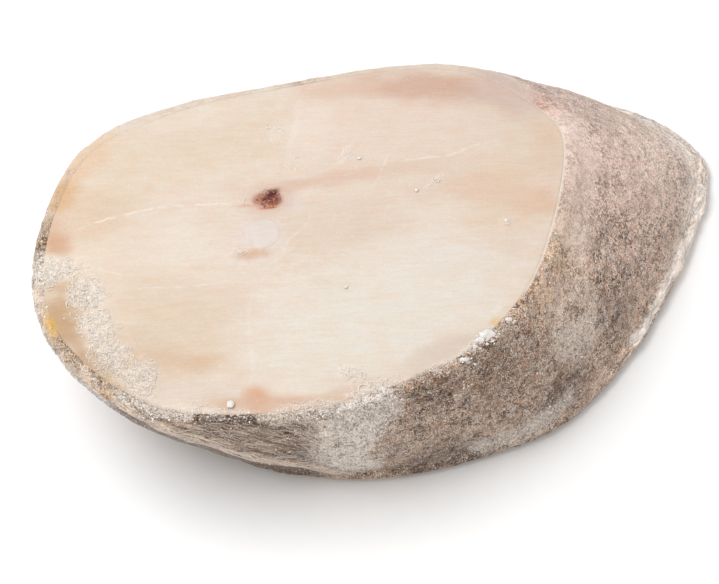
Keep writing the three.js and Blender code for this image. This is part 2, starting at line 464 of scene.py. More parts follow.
FACE_LIGHT = 1.40  # how much brighter the scene shows a level surface than its own colour
CREAM = (236, 220, 203)
FAT_YELLOW = (236, 184, 46)
FOLDED_BROWN = (166, 136, 110)
SEPTUM_PALE = (250, 241, 230)
FACE_TINTS = [  # name, centre, reach, turn, seen colour, strength
    ("upper left beige", (-38, 13), (24, 8), 12, (233, 216, 195), 0.8),
    ("upper left pale", (-36, 21.5), (11, 4), 14, (239, 224, 208), 0.8),
    ("upper right", (2, 20), (20, 10), 6, (238, 219, 204), 0.8),
    ("pale above the canal", (-14, 18), (4.5, 9), 0, (241, 227, 214), 0.8),
    ("middle left", (-42, -7), (15, 7), 0, (239, 227, 213), 0.8),
    ("middle", (-10, -4), (13, 7), 10, (231, 212, 195), 0.7),
    ("lower left beige", (-38, -24.5), (16, 9), -8, (230, 211, 190), 0.95),
    ("lower left edge", (-39, -31.4), (13, 2.6), -7, (223, 194, 166), 0.9),
    ("lower pale", (-4, -24), (24, 13), 14, (238, 230, 218), 1.0),
    ("lower pale right", (14, -14), (14, 10), 35, (239, 231, 220), 0.9),
    ("pale middle right", (6, -10), (16, 6), 8, (239, 229, 219), 0.75),
    ("pale below the bone", (-17, -18), (7, 5), 0, (239, 228, 217), 0.75),
    ("bottom pale", (-34, -37.2), (11, 3.2), -4, (230, 214, 198), 0.9),
    ("band beside the canal", (-8, 6.9), (13, 1.7), 11, (229, 201, 183), 0.85),
    ("band further out", (8, 9.4), (11, 2.2), 8, (233, 209, 191), 0.5),
    ("right red", (28.0, 1.8), (6.2, 3.6), -14, (227, 188, 162), 0.7),
    ("right red tail", (20, 4.5), (9, 4.0), -10, (231, 200, 178), 0.7),
    ("top red", (8, 27.6), (15, 4.0), -3, (218, 184, 165), 0.95),
    ("top red left", (-8, 27), (9, 2.4), 8, (229, 200, 180), 0.8),
    ("top grey", (23, 27.5), (8, 5), -35, (225, 201, 190), 0.8),
    ("right edge", (30.5, 13), (3.5, 10), 0, (230, 203, 182), 0.6),
    ("bottom red", (-23, -39.2), (2.6, 3.0), 0, (226, 174, 142), 1.0),
    ("bottom pink", (-20, -40.4), (14, 2.2), 0, (220, 184, 158), 0.8),
    ("bottom pink right", (-4, -38), (8, 2.6), 16, (222, 194, 172), 0.75),
    ("left orange upper", (-59.6, 3.6), (3.4, 5.6), -20, (224, 182, 136), 1.0),
    ("left orange", (-60.0, -5.2), (3.0, 4.4), 10, (208, 152, 108), 0.95),
    ("left pink", (-54.5, -1.5), (8.0, 6.0), 20, (226, 198, 173), 0.8),
    ("upper left edge", (-55.4, 12), (3.4, 7), -38, (236, 205, 174), 0.8),
    ("beige end", (-59, -22), (5.4, 9), -10, (200, 167, 130), 1.0),
    ("beige corner", (-52, -33.5), (9, 4.4), -50, (196, 164, 128), 1.0),
    ("pink by the bone", (-25.0, -10.2), (4.6, 2.6), 10, (237, 221, 210), 0.9),
    ("pale by the bone", (-22.4, -5.2), (5.2, 4.6), 0, (236, 224, 217), 0.8),
    ("flecks by the bone", (-24.0, -9.6), (3.6, 1.3), 8, (222, 186, 160), 0.8),
    ("right side", (23, 3), (7, 17), -14, (234, 210, 188), 0.55),
    ("left side", (-52, -7), (10, 15), 0, (230, 210, 186), 0.45),
    ("lower left end", (-44, -31), (7, 6), -40, (222, 200, 176), 0.6),
    ("front edge shade", (10, -29.5), (9, 2.4), 28, (222, 204, 188), 0.6),
    ("bluish beside the canal", (-17.2, 1.2), (2.4, 2.0), 20, (230, 219, 212), 0.7),
]
FACE_SHADES = [  # slow drifts of colour over the whole face: lump size, seed, seen colour, strength
    ((13, 6, 9), 3.3, (240, 228, 214), 0.45),
    ((9, 5, 9), 8.1, (229, 208, 188), 0.35),
    ((5, 3, 6), 12.7, (235, 208, 194), 0.22),
]
YELLOW_FAT = [  # centre, reach, turn, strength
    ((-60.6, -23.4), (1.0, 5.0), 22, 1.0),
    ((19.7, -23.5), (1.5, 1.0), 25, 0.5),
]
SKIN_EDGE = [  # where the skin begins in front: it folds a little over the face there
    (-4.1, -39.4), (0.4, -37.9), (2.7, -36.2), (4.6, -34.6), (6.8, -33.4), (9.0, -32.6),
    (11.6, -31.7), (14.9, -30.5), (17.1, -28.4), (19.3, -26.0), (21.1, -24.1),
]
SEPTA = [  # lines of pale tissue on the face: points, half width, strength
    ([(-57.8, -4.2), (-53.6, -2.6), (-44.5, -0.1), (-40.1, 0.7), (-32.7, 1.1), (-25.1, 0.7)], 0.20, 0.62),
    ([(1.2, 10.4), (6.8, 11.3), (12.4, 12.0), (16.7, 14.3), (21.8, 16.1)], 0.24, 0.5),
    ([(1.2, 13.7), (-0.2, 9.7), (-1.1, 7.4), (-3.1, 2.5)], 0.14, 0.35),
    ([(-45.6, -16.6), (-40.7, -16.6), (-37.1, -16.5), (-32.2, -16.1), (-27.5, -14.7)], 0.16, 0.4),
    ([(-56.2, -10.8), (-51.8, -12.6), (-46.3, -14.3)], 0.20, 0.35),
    ([(-13.7, -0.2), (-14.2, -3.0), (-17.8, -6.7), (-19.0, -10.3), (-22.6, -13.0)], 0.22, 0.35),
    ([(-20.8, -13.0), (-15.3, -14.5), (-10.4, -13.6), (5.2, -12.5)], 0.18, 0.3),
    ([(-15.8, 25.8), (-16.5, 19.9), (-17.9, 13.0), (-18.7, 8.5)], 0.5, 0.25),
    ([(-24.4, -15.7), (-24.8, -22.8), (-24.1, -29.5), (-23.5, -36.1)], 0.4, 0.2),
]
FROST_PATCHES = [  # on the face: centre, reach, turn, strength
    ((-61.6, -12.4), (5.0, 2.6), 8, 1.0),
    ((-54.4, -17.6), (3.4, 5.0), 6, 1.0),
    ((-52.4, -24.0), (3.2, 5.0), 16, 0.9),
    ((-48.8, -30.2), (3.2, 6.2), 42, 0.95),
    ((-43.8, -35.0), (3.8, 4.6), 36, 0.95),
    ((-46.0, -39.4), (5.4, 1.8), -30, 0.6),
    ((-6.3, -33.8), (2.2, 1.3), 0, 0.7),
    ((-3.0, -37.6), (5.6, 1.6), 18, 0.85),
    ((8.0, -33.6), (6.0, 0.6), 30, 0.5),
    ((16.0, -28.2), (5.0, 0.7), 42, 0.6),
    ((-33, -41.2), (9, 0.9), -3, 0.6),
    ((-14, -40.8), (7, 1.1), 5, 0.8),
    ((-19.5, 23.0), (1.2, 1.6), 0, 0.25),
    ((-20.4, 16.5), (1.1, 2.0), 0, 0.3),
    ((-17.6, 9.6), (3.6, 1.6), 10, 0.25),
    ((-29.5, 1.6), (3.6, 0.7), 2, 0.3),
    ((-26.6, -9.2), (2.4, 0.9), 10, 0.4),
    ((-7.2, 12.2), (0.9, 2.6), -25, 0.5),
    ((9.4, 6.4), (2.6, 0.7), 40, 0.5),
    ((22.1, -2.2), (1.2, 0.8), 0, 0.4),
    ((11.9, -17.6), (2.0, 1.0), 20, 0.25),
    ((20.6, -20.6), (1.6, 0.8), 40, 0.4),
]
CANAL_PLACE = np.array([CANAL["x"], CANAL["y"]]) + SHIFT
BONE_PLACE = np.array([BONE["x"], BONE["y"]]) + SHIFT
BLOOD_STAIN = [  # round the canal, in the order they lie: centre, reach, turn, seen colour, strength
    ((0.3, 0.2), (5.4, 3.8), 30, (222, 186, 168), 0.65),
    ((5.1, 3.2), (3.4, 1.0), 8, (228, 198, 182), 0.7),
    ((0.0, -0.2), (2.6, 2.0), 20, (178, 118, 92), 1.0),
    ((-2.0, -0.3), (1.3, 1.3), 0, (186, 128, 100), 0.8),
    ((0.9, -0.5), (1.7, 1.2), 25, (150, 84, 64), 0.9),
    ((0.45, 0.75), (1.9, 0.85), 44, (106, 42, 42), 1.0),
    ((-0.9, -0.2), (0.5, 0.9), 10, (120, 58, 48), 0.8),
    ((0.0, -2.0), (1.8, 0.24), 8, (214, 124, 86), 0.9),
    ((-4.3, -1.6), (2.4, 0.28), 3, (228, 180, 166), 0.8),
]


def blend(colours, seen, share):
    """Moves colours towards a seen sRGB colour by that share at each point."""
    colours += (linear(seen) - colours) * share[:, None]


def seen_colour(colour):
    """A seen sRGB colour of the face as a socket's colour."""
    r, g, b = np.clip(linear(colour) / FACE_LIGHT, 0, 1)
    return (float(r), float(g), float(b), 1.0)


def face_colours(points):
    """The face's own colours: slow drifts, then patches, fat, blood and the fold of skin over them."""
    colours = np.tile(linear(CREAM), (len(points), 1))
    for size, seed, seen, strength in FACE_SHADES:
        blend(colours, seen, strength * smoothstep(fractal(points, size, 3, seed), -0.1, 0.45))
    for index, (_, centre, reach, turn, seen, strength) in enumerate(FACE_TINTS):
        blend(colours, seen, strength * patch(points, centre, reach, turn, 0.42, index * 3.1))
    for centre, reach, turn, strength in YELLOW_FAT:
        blend(colours, FAT_YELLOW, strength * patch(points, centre, reach, turn, 0.6, 4.4))
    around = points - np.append(CANAL_PLACE, 0)
    for index, (centre, reach, turn, seen, strength) in enumerate(BLOOD_STAIN):
        blend(colours, seen, strength * patch(around, centre, reach, turn, 0.3, 3 + index))
    blend(colours, FOLDED_BROWN, 0.85 * folded_skin(points))
    return colours / FACE_LIGHT


def folded_skin(points):
    """1 in front of the line where the skin folds over the face."""
    away, share = signed_distance(points, SKIN_EDGE)
    over = smoothstep(-away + 0.5 * fractal(points, 1.2, 3, 6), -0.1, 0.5)
    return over * smoothstep(share * (1 - share), 0.0, 0.02)


def face_frost(points):
    """How thick frost lies on the face, from 0 to 1."""
    return np.max([
        strength * patch(points, centre, reach, turn, 0.6, 40 + index)
        for index, (centre, reach, turn, strength) in enumerate(FROST_PATCHES)
    ], axis=0)


# ---------------------------------------------------------------- materials

# Factors that shade or brighten the tint, for each kind of mark.
FIBRE_SHADE = (0.980, 0.955, 0.930, 1)
MOTTLE_SHADE = (1.0, 0.962, 0.925, 1)
CURD_LIGHT = (1.035, 1.04, 1.05, 1)
BROWN_SHADE = (0.77, 0.72, 0.68, 1)
STROKE_SHADE = (0.80, 0.73, 0.68, 1)
SCALE_SHADE = (0.46, 0.395, 0.345, 1)
LAYER_LIGHT = (2.2, 1.9, 1.6, 1)
BONE_SHADE = (0.975, 0.955, 0.940, 1)
CLOT_SHADE = (0.52, 0.36, 0.32, 1)
ICE_SHADE = (0.92, 0.90, 0.88, 1)
# Linear colours that cover the tint.
FACE_FROST = (0.82, 0.745, 0.665, 1)
SKIN_HAZE = (0.76, 0.675, 0.61, 1)
SKIN_WHITE = (0.86, 0.80, 0.75, 1)
# Colour of the painted highlights that stand for the skin's glints, and of its white frost marks.
GLINT_WHITE = (0.98, 0.875, 0.785, 1)
CREVICE_DARK = (0.024, 0.011, 0.006, 1)
LAYER_PALE = (0.86, 0.76, 0.65, 1)
LAYER_GAP = (0.085, 0.052, 0.030, 1)
GRANULE_RED = (0.60, 0.36, 0.26, 1)


def flesh_material():
    s = Shader("flesh")
    tint = s.attribute("tint", "Color")
    frost = s.attribute("frost")
    fibres = s.noise((4.5, 0.36, 3.0), 3, 0.65, turn=-3)
    mottle = s.noise((5.0, 2.8, 4.0), 3, 0.6, turn=-4)
    curd = s.noise(0.55, 3, 0.7)
    colour = s.mix(s.step(fibres, 0.38, 0.64), tint, FIBRE_SHADE, "MULTIPLY")
    colour = s.mix(s.step(mottle, 0.42, 0.70), colour, MOTTLE_SHADE, "MULTIPLY")
    colour = s.mix(s.step(curd, 0.44, 0.66), colour, CURD_LIGHT, "MULTIPLY")
    colour = septa(s, colour)
    specks = s.times(s.step(s.noise(0.30, 2, 0.6), 0.62, 0.70), s.step(s.noise(2.6, 2), 0.52, 0.66), 0.4)
    ice = s.times(froth(s), frost)
    white = s.math("MAXIMUM", specks, ice, clamp=True)
    colour = s.mix(white, colour, FACE_FROST)
    normal = s.bump(fibres, 0.08)
    normal = s.bump(curd, 0.05, normal)
    normal = s.bump(ice, 0.12, normal)
    return moist(s, colour, s.between(s.noise(3.0, 3), 0.36, 0.60), normal)


def moist(s, colour, roughness, normal):
    """The moist surface that muscle and bone share."""
    return s.finish(
        Base_Color=colour, Roughness=roughness, Normal=normal, IOR=1.36,
        Subsurface_Weight=0.22, Subsurface_Radius=(1.0, 0.6, 0.4), Subsurface_Scale=0.0012,
        Coat_Weight=0.12, Coat_Roughness=0.28,
    )


def septa(s, colour):
    """Pale broken lines of tissue over the colour."""
    for index, (_, half_width, _) in enumerate(SEPTA):
        field = s.node("ShaderNodeSeparateXYZ", {0: s.attribute(f"septum_{index}", "Vector")}).outputs
        wobble = s.math("MULTIPLY", s.math("SUBTRACT", s.noise(1.3, 2), 0.5), 0.7)
        away = s.math("ABSOLUTE", s.math("ADD", field[0], wobble))
        line = s.times(s.step(away, half_width * 1.8, half_width * 0.3), field[1])
        line = s.times(line, s.step(s.noise(1.8, 2), 0.34, 0.60))
        colour = s.mix(line, colour, seen_colour(SEPTUM_PALE))
    return colour


def froth(s):
    """Curls and crumbs of white ice over a thin haze, from 0 to 1."""
    rings = s.step(s.cells(1.25, "DISTANCE_TO_EDGE", 1.0), 0.10, 0.02)
    small = s.step(s.cells(0.62, "DISTANCE_TO_EDGE", 0.8), 0.13, 0.03)
    crumbs = s.step(s.noise(0.42, 2, 0.7), 0.56, 0.64)
    lines = s.math("MAXIMUM", s.times(rings, 0.75), s.times(small, 0.6))
    lines = s.math("MAXIMUM", lines, s.times(crumbs, 0.8))
    haze = s.times(s.step(s.noise(1.6, 2, 0.6), 0.36, 0.60), 0.35)
    return s.math("MAXIMUM", lines, haze)


def skin_material():
    s = Shader("skin")
    tint = s.attribute("tint", "Color")
    frost = s.attribute("frost")
    specked = s.attribute("specked")
    layered = s.attribute("layered")
    brown = s.times(s.step(s.noise(3.4, 3, 0.6), 0.45, 0.57), specked)
    colour = s.mix(brown, tint, BROWN_SHADE, "MULTIPLY")
    hazy = s.times(s.step(s.noise(2.5, 3, 0.65, turn=60), 0.49, 0.60), specked, 0.40)
    colour = s.mix(hazy, colour, SKIN_HAZE)
    strokes = s.times(s.step(s.noise((1.3, 0.5, 0.8), 3, 0.65, turn=-38), 0.50, 0.60), specked, 0.7)
    colour = s.mix(strokes, colour, STROKE_SHADE, "MULTIPLY")
    fine = s.times(s.step(s.noise(0.30, 2, 0.7, turn=15), 0.48, 0.52), specked)
    colour = s.mix(fine, colour, SCALE_SHADE, "MULTIPLY")
    colour = frosted(s, colour, frost)
    colour, pockets = dark_marks(s, colour, specked, frost)
    colour, glints = white_marks(s, colour, specked, frost)
    colour, layers = layered_ice(s, colour, tint, layered)
    rough = s.math("ADD", s.times(specked, 0.8), 0.2)
    normal = s.bump(s.times(pockets, rough), -0.15)
    normal = s.bump(glints, 0.10, normal)
    normal = s.bump(s.times(s.noise(0.6, 3, 0.7), rough), 0.40, normal)
    normal = s.bump(s.times(s.noise(0.28, 2, 0.7), rough), 0.16, normal)
    normal = s.bump(s.times(layers, layered), 0.25, normal)
    return s.finish(
        Base_Color=colour, Roughness=s.between(s.noise(2.4, 3), 0.30, 0.65), Normal=normal, IOR=1.36,
        Specular_IOR_Level=0.25, Coat_Weight=0.12, Coat_Roughness=0.12,
    )


def frosted(s, colour, frost):
    """Whitish frost over the skin, in soft flakes and froth."""
    flakes = s.times(s.step(s.noise(0.9, 3, 0.75, turn=70), 0.42, 0.58), frost)
    cover = s.math("MAXIMUM", flakes, s.times(froth(s), frost, 0.9))
    return s.mix(s.times(cover, 0.9), colour, SKIN_WHITE)


def dark_marks(s, colour, specked, frost):
    """Dark brown crevices, pockets and short marks, thick in some places and few in others."""
    thick = s.math("ADD", s.times(s.step(s.noise(4.2, 2, 0.6, turn=33), 0.40, 0.60), 0.45), 0.55)
    crevices = s.step(s.cells(1.25, "DISTANCE_TO_EDGE", 1.3), 0.11, 0.03)
    crevices = s.times(crevices, s.step(s.noise(1.5, 2, turn=5), 0.47, 0.56))
    pockets = s.times(s.step(s.cells(1.15, warp=0.9), 0.34, 0.22), s.step(s.noise(1.9, 2), 0.44, 0.54))
    marks = s.times(s.step(s.noise(0.34, 2, 0.7), 0.54, 0.56), s.step(s.noise(1.4, 2, turn=20), 0.42, 0.54))
    sunk = s.math("MAXIMUM", pockets, crevices)
    dark = s.times(s.math("MAXIMUM", sunk, marks), specked, thick)
    dark = s.times(dark, s.math("SUBTRACT", 0.9, s.times(frost, 0.35)))
    return s.mix(dark, colour, CREVICE_DARK), sunk


def white_marks(s, colour, specked, frost):
    """White crystals and short hairs of frost, and painted highlights: glints laid into the colour as white
    dots.
    """
    hairs = s.times(s.threads(0.8, 0.022), s.step(s.noise(1.6, 2, turn=50), 0.43, 0.55), 0.8)
    # painted highlights: the skin's glints as white dots in its colour
    glints = s.step(s.noise(0.28, 2, 0.6, turn=40), 0.575, 0.60)
    glints = s.times(glints, s.step(s.noise(1.8, 2, turn=10), 0.43, 0.55))
    icy = s.times(s.step(s.noise(0.40, 2, 0.7, turn=65), 0.52, 0.56), frost)
    sparks = s.times(s.math("MAXIMUM", hairs, glints), s.math("ADD", specked, 0.03))
    white = s.math("MAXIMUM", sparks, icy, clamp=True)
    return s.mix(s.times(white, 0.9), colour, GLINT_WHITE), white


def layered_ice(s, colour, tint, layered):
    """Thin layers along the lower edges, pale where the ice is thick, with dark gaps between them."""
    lay = s.attribute("lay", "Vector")
    layers = s.noise((5.0, 0.42, 1.0), 3, 0.7, place=lay)
    brighter = s.mix(1.0, tint, LAYER_LIGHT, "MULTIPLY")
    pale = s.mix(s.times(layered, layered), brighter, LAYER_PALE)
    colour = s.mix(s.times(s.step(layers, 0.50, 0.57), layered, 0.85), colour, pale)
    gaps = s.times(s.step(layers, 0.46, 0.38), layered, 0.85)
    return s.mix(gaps, colour, LAYER_GAP), layers


def bone_material():
    s = Shader("bone")
    tint = s.attribute("tint", "Color")
    rings = s.noise((2.6, 0.9, 6.0), 3, 0.5)
    colour = s.mix(s.step(rings, 0.4, 0.7), tint, BONE_SHADE, "MULTIPLY")
    return moist(s, colour, 0.45, s.bump(s.noise(0.6, 3, 0.6), 0.05))


def blood_material():
    s = Shader("blood")
    tint = s.attribute("tint", "Color")
    clots = s.noise(0.50, 3, 0.7)
    colour = s.mix(s.step(clots, 0.50, 0.58), tint, CLOT_SHADE, "MULTIPLY")
    granules = s.times(s.step(s.noise(0.44, 2, 0.6, turn=50), 0.56, 0.64), 0.5)
    colour = s.mix(granules, colour, GRANULE_RED)
    normal = s.bump(clots, 0.25)
    return s.finish(
        Base_Color=colour, Roughness=0.32, Normal=normal, IOR=1.37,
        Subsurface_Weight=0.15, Subsurface_Radius=(1.0, 0.3, 0.2), Subsurface_Scale=0.0006,
        Specular_IOR_Level=0.3, Coat_Weight=0.08, Coat_Roughness=0.15,
    )


def ice_material(name, roughness):
    """White ice that takes some of the colour it lies on."""
    s = Shader(name)
    tint = s.attribute("tint", "Color")
    shade = s.mix(s.step(s.noise(0.8, 2), 0.35, 0.65), tint, ICE_SHADE, "MULTIPLY")
    normal = s.bump(s.noise(0.2, 2, 0.6), 0.05)
    return s.finish(
        Base_Color=shade, Roughness=roughness, Normal=normal, IOR=1.31,
        Subsurface_Weight=0.25, Subsurface_Radius=(1.0, 1.0, 1.0), Subsurface_Scale=0.0005,
        Coat_Weight=0.3, Coat_Roughness=0.08,
    )


# ---------------------------------------------------------------- flesh

FLESH_TUCK = 0.35  # how far the flesh reaches under the skin's cut edge
FACE_REACH = 42  # about how far the upper face's edge lies from its middle


def skin_width(points):
    """Width of the skin's cut edge: thin along the back, thicker on the right and in front."""
    x, y = points[..., 0], points[..., 1]
    back = smoothstep(y, 12, 28) * (1 - smoothstep(x, 14, 30))
    right = smoothstep(x, 18, 32)
    return SKIN + 0.2 * right - 0.45 * back


def bareness(points):
    """1 at the left end, where the flesh runs out to the slice's edge without a lip of skin."""
    return smoothstep(-points[..., 0], 42, 52)


def flesh_rows(inset):
    """Rows of points from the middle of the lower face, up the flank, to the middle of the upper one.
    The upper face's rows come last, one for each of the shares that are given with them."""
    u = np.arange(FLESH_AROUND) / FLESH_AROUND
    edge = flank_plan(u, 1.0, inset)
    under = flank_plan(u, 0.0, inset)
    edge_middle, under_middle = edge.mean(0), under.mean(0)
    rows = []
    for r in np.linspace(0.02, 1, 9):
        plan = under_middle + (under - under_middle) * r
        rows.append(np.column_stack([plan, np.zeros(FLESH_AROUND)]))
    for t in (0.03, 0.1, 0.3, 0.6, 0.85, 0.95):
        rows.append(flank_row(u, t, inset + 1.3 * smoothstep(min(t, 1 - t), 0.0, 0.12)))
    shares = 1 - np.linspace(0, 1, FACE_RINGS + 1)[:-1] ** 1.15
    for r in shares:
        plan = edge_middle + (edge - edge_middle) * r
        rows.append(np.column_stack([plan, face_height(plan[:, 0], plan[:, 1], r)]))
    return to_frame(np.array(rows)), shares


def shape_face(face, shares, bare):
    """Gives the upper face's points their fine relief, and returns the frost that lies on them."""
    frost = face_frost(face)
    by_bone = patch(face, (-24.6, -10.2), (5.5, 2.6), 8)
    from_edge = (1 - np.repeat(shares, FLESH_AROUND)) * FACE_REACH
    face[:, 2] += 0.06 * fractal(face, (7.0, 1.3, 5.0), 3)
    face[:, 2] += 0.02 * fractal(face, 0.9, 2, 5)
    face[:, 2] += frost * (0.08 + 0.30 * grainy(face, 1.1, 3) * frost)
    face[:, 2] += by_bone * 0.20 * fractal(face, 1.4, 3, 9)
    rim_drop = 0.35 - 0.27 * np.tile(bare, len(shares))
    face[:, 2] -= rim_drop * (1 - smoothstep(from_edge, 0.0, 0.32))
    return frost


def flesh_piece():
    u = np.arange(FLESH_AROUND) / FLESH_AROUND
    top_edge = to_frame(flank_row(u, 1.0, 0.0))
    bare = bareness(top_edge)
    inset = (skin_width(top_edge) - FLESH_TUCK) * (1 - bare) + 0.05 * bare
    grid, shares = flesh_rows(inset)
    face = grid[-len(shares):].reshape(-1, 3)
    frost = shape_face(face, shares, bare)
    grid[-len(shares):] = face.reshape(-1, FLESH_AROUND, 3)
    points = np.concatenate([grid.reshape(-1, 3), [grid[0].mean(0), grid[-1].mean(0)]])
    piece = make_mesh("flesh_cut", points, grid_faces(len(grid), FLESH_AROUND), flesh_material())
    cap(piece, len(points) - 2, len(points) - 1, len(grid))
    paint_flesh(piece, points)
    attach(piece, "root")
    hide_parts("flesh")
    return face, frost


def paint_flesh(piece, points):
    upper = smoothstep(points[:, 2], 24, 28)
    paint(piece, "tint", with_alpha(face_colours(points)))
    paint(piece, "frost", face_frost(points) * upper)
    for index, (line, _, strength) in enumerate(SEPTA):
        away, share = signed_distance(points, line)
        fade = strength * np.clip(np.minimum(share, 1 - share) * 7, 0, 1) * upper
        paint(piece, f"septum_{index}", np.column_stack([away, fade, np.zeros(len(points))]))


def cap(piece, low_pole, high_pole, rows):
    """Closes the two ends of the flesh's rows with fans of triangles round the poles."""
    bm = bmesh.new()
    bm.from_mesh(piece.data)
    bm.verts.ensure_lookup_table()
    last = (rows - 1) * FLESH_AROUND
    for i in range(FLESH_AROUND):
        n = (i + 1) % FLESH_AROUND
        bm.faces.new([bm.verts[low_pole], bm.verts[n], bm.verts[i]]).smooth = True
        bm.faces.new([bm.verts[high_pole], bm.verts[last + i], bm.verts[last + n]]).smooth = True
    bm.to_mesh(piece.data)
    bm.free()


# ---------------------------------------------------------------- skin

SKIN_PLAIN = (180, 154, 134)
WALL_BROWN = (88, 60, 38)
LIP_PALE = (246, 232, 218)
GLASSY_LILAC = (218, 199, 190)
# Painted shadow: the dark brown laid on the flank under the rim stands in for the shade there.
UNDER_RIM_SHADOW_PAINT = (88, 64, 46)
RIM_WHITE = (214, 200, 180)
FROTH_BEIGE = (190, 164, 136)
# Painted light: the low right side, which faces away from the lamp, is painted lighter, besides the frost
# that lies there.
FAR_PAINTED_LIGHT = (238, 230, 226)
LOW_GREY = (200, 188, 180)
RIDGE_WHITE = (250, 250, 254)
FOOT_BROWN = (92, 74, 62)
SKIN_GAIN = 1.70  # makes up for the dark marks that the skin's material lays over its tint
SKIN_TINTS = [  # name, centre, reach, seen colour, strength
    ("brown side", (20, -30, 18), 30, (168, 144, 126), 1.0),
    ("brown middle", (42, -6, 16), 20, (190, 166, 149), 1.0),
    ("upper middle", (46, 6, 18), 16, (202, 176, 163), 1.0),
    ("lilac", (42, 22, 22), 17, (203, 179, 169), 1.0),
    ("lilac far", (56, 22, 10), 13, (208, 187, 177), 1.0),
    ("grey top", (27, 29, 27), 9, (196, 156, 142), 0.9),
    ("back right", (36, 34, 18), 12, (186, 162, 151), 0.9),
    ("top right", (40, 28, 21), 7, (178, 153, 143), 0.7),
    ("dark patch low", (33.5, -26.5, 9.5), 7.5, (112, 84, 66), 0.8),
    ("dark patch right", (43.5, -11, 12), 7.0, (138, 110, 92), 0.6),
    ("dark patch top", (19, -31, 26), 6.5, (124, 96, 72), 0.7),
    ("brown patch", (8, -36, 27), 6.0, (120, 92, 66), 0.8),
    ("olive edge", (32.5, -6, 29), 7.5, (192, 167, 144), 0.85),
    ("olive edge low", (26, -18, 29), 7.0, (192, 164, 140), 0.85),
    ("pale below it", (35, -16, 22), 8.0, (206, 188, 174), 0.7),
    ("pale beside it", (37, -3, 24), 6.0, (216, 194, 181), 0.7),
    ("front wall right", (-6, -41.5, 27), 5, (182, 152, 124), 0.8),
    # the brown flap's dark tint is partly its own brown skin and partly painted shadow under the rim
    ("brown flap", (-16, -41.5, 6.5), 5, (112, 82, 56), 0.9),
    ("grey left band", (-63, -4, 27), 14, (152, 126, 92), 1.0),
    ("lower left band", (-56, -33, 27), 11, (166, 138, 104), 1.0),
    ("icy front", (-7, -42.2, 25), 9, (224, 217, 210), 0.95),
    ("icy front right", (-2, -41, 25), 5.5, (208, 198, 190), 0.8),
    ("icy front low", (-8, -42.4, 15), 9, (206, 198, 190), 0.85),
    ("dark foot", (10, -39, 4), 9, (112, 88, 70), 0.9),
    ("dark foot right", (16, -36.5, 2.5), 6, (120, 98, 82), 0.7),
]
SKIN_FROST = [  # lines along which frost lies: points, reach, strength
    (((38, -17.5, 15), (33, -21, 18)), 5.0, 0.55),
    (((34, -27.5, 7), (28, -31.2, 6.5), (19, -35.4, 5.5)), 4.0, 0.8),
    (((0.0, -40.0, 28), (-2.5, -41.0, 25), (-5, -42.4, 20), (-8, -42.8, 14), (-12, -42.9, 14)), 4.0, 0.9),
    (((53, 36.5, 6), (58, 32, 6), (62, 27, 5)), 3.5, 0.7),
    ((
        (-3, -38.8, 30.4), (-8, -41.2, 28.5), (-12, -43.0, 25), (-13, -43.8, 20), (-9, -43.5, 15),
        (-5, -42.5, 10),
    ), 5.0, 1.0),
    (((-64, -11, 28), (-62.5, -18, 28)), 4.5, 0.9),
    (((-62, -26, 27), (-52, -37, 27)), 4.0, 0.7),
    (((-58, 12, 27), (-63, -2, 27)), 4.0, 0.4),
    (((60, 33, 3), (61, 23, 5), (62, 18, 3)), 2.6, 0.7),
]
WALL_FROTH = [  # froth that runs down from the face over the front wall's upper edge: points, reach
    (((-47, -39.0, 30.2), (-40, -41.6, 30.0), (-36, -42.3, 30.1)), 1.8),
    (((-21, -42.8, 30.8), (-15, -42.4, 30.6), (-9, -41.2, 30.6)), 2.4),
]
FLESHY = [  # where the skin is so thin or clear that the flesh shows: centre, reach, strength, lowest height
    ((-62.5, -21, 29), 7, 0.8, 27.5),
    ((-60.5, 4, 29.5), 8, 0.85, 28.1),
    ((-55, 13.5, 30.5), 8, 0.95, 28.3),
    ((-48, 19.5, 30.5), 8, 0.95, 28.3),
    ((-34, 27, 31), 20, 0.9, 28.5),
    ((0, 34, 31), 20, 0.95, 28),
    ((22, 31, 30), 11, 0.95, 25),
]
FROSTY_RIM = [  # whitish layered rim below the front wall
    (-53, -34.5, 30.0), (-48.9, -37.3, 30.0), (-45.3, -40.1, 29.3), (-41.9, -41.7, 27.5),
    (-37.3, -42.7, 25.0), (-32.6, -43.1, 22.1), (-28.1, -42.8, 18.1), (-23.5, -42.7, 15.2),
    (-18.8, -42.7, 13.0), (-14.0, -41.9, 9.8), (-9.3, -40.4, 5.0),
]
ICY_RIDGE = [  # bluish white ridge low on the right
    (62.8, 22.4, 2.7), (62.0, 17.9, 2.3), (59.9, 12.1, 2.4), (56.9, 5.2, 2.6), (53.6, -0.8, 3.2),
    (50.4, -7.3, 2.9), (47.5, -12.0, 3.2),
]
GLASSY = [  # smooth lilac skin beside the lip, few dark marks: centre, reach
    ((33, 20, 29), 6.5), ((35.5, 13, 29), 6.5), ((35.5, 5, 29), 6.5), ((35.0, -2, 28.5), 6.0),
]
LIP = (  # share of the skin's width, height of the cut edge above the flank's top
    (0.2, 0.03), (0.4, 0.03), (0.6, 0.02), (0.8, 0.0), (1.0, -0.12), (1.2, -0.4), (1.4, -0.9),
)


def near_line(points, line):
    """Distance in space from each point to a line of points."""
    best = np.full(len(points), 1e9)
    for a, b in zip(np.array(line[:-1], float), np.array(line[1:], float)):
        d = b - a
        along = np.clip((points - a) @ d / (d @ d), 0, 1)
        best = np.minimum(best, np.linalg.norm(points - a - along[:, None] * d, axis=1))
    return best


def skin_colours(points):
    colours = np.tile(linear(SKIN_PLAIN), (len(points), 1))
    for index, (_, centre, reach, seen, strength) in enumerate(SKIN_TINTS):
        blend(colours, seen, strength * ball(points, centre, reach, 0.3, index * 2.3))
    return colours * SKIN_GAIN


